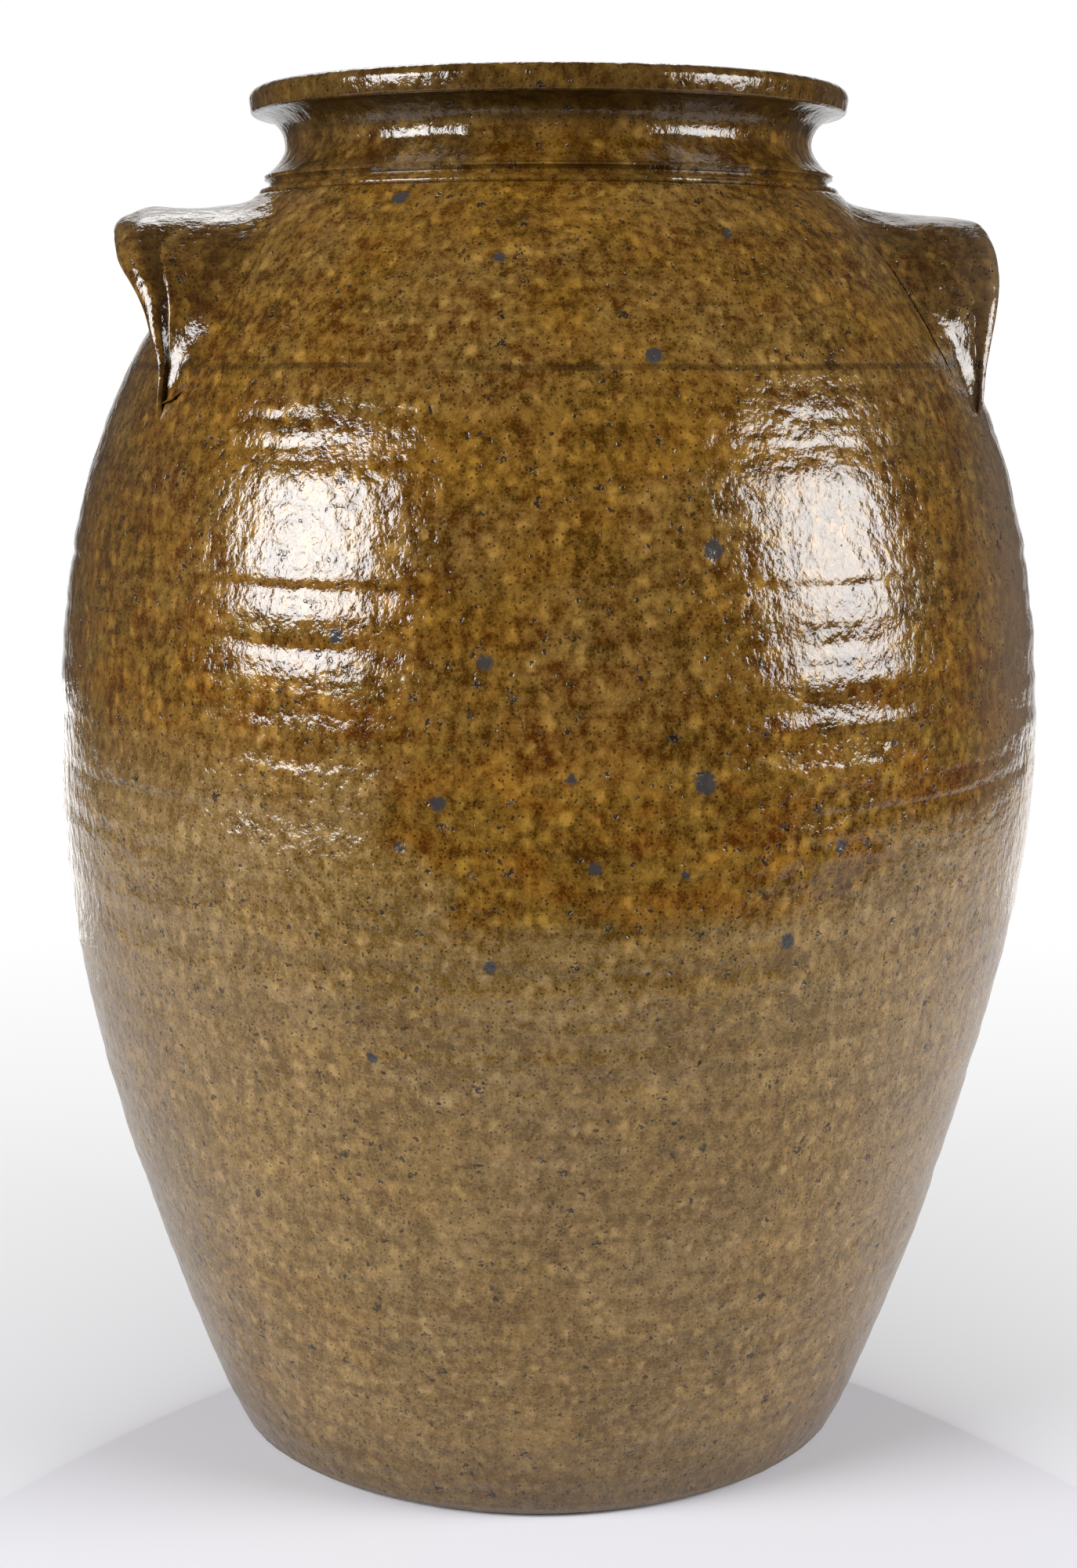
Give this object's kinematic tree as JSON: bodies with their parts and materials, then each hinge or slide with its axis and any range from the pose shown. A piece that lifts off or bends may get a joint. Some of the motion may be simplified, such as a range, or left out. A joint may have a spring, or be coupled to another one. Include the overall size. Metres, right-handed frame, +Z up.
{
  "type": "storage jar",
  "caption": "Glazed stoneware storage jar with a rolled lip, a ridged collar and a crescent lug handle on each side of its shoulder.",
  "frame": {"origin": "centre of the foot's underside, on the surface the jar stands on", "axes": "+Z up along the jar's axis; +X towards the right lug, -X towards the left lug; -Y towards the side that faces the viewer"},
  "size_m": [0.31, 0.31, 0.42],
  "materials": {
    "bare_clay": "unglazed fired stoneware, wire-cut and matt",
    "thin_glaze": "thin tan-olive ash glaze with pale flecks and dark pits",
    "thick_glaze": "glossy amber-olive ash glaze, dipped twice",
    "rim_glaze": "glossy dark brown ash glaze"
  },
  "bodies": {
    "root": {"floor_pad": "bare_clay", "lower_wall": "thin_glaze", "upper_wall": "thick_glaze", "neck_collar": "thick_glaze", "lip_roll": "rim_glaze", "left_lug": "thick_glaze", "right_lug": "thick_glaze", "left_luting_coil": "rim_glaze", "right_luting_coil": "rim_glaze"}
  },
  "joints": []
}
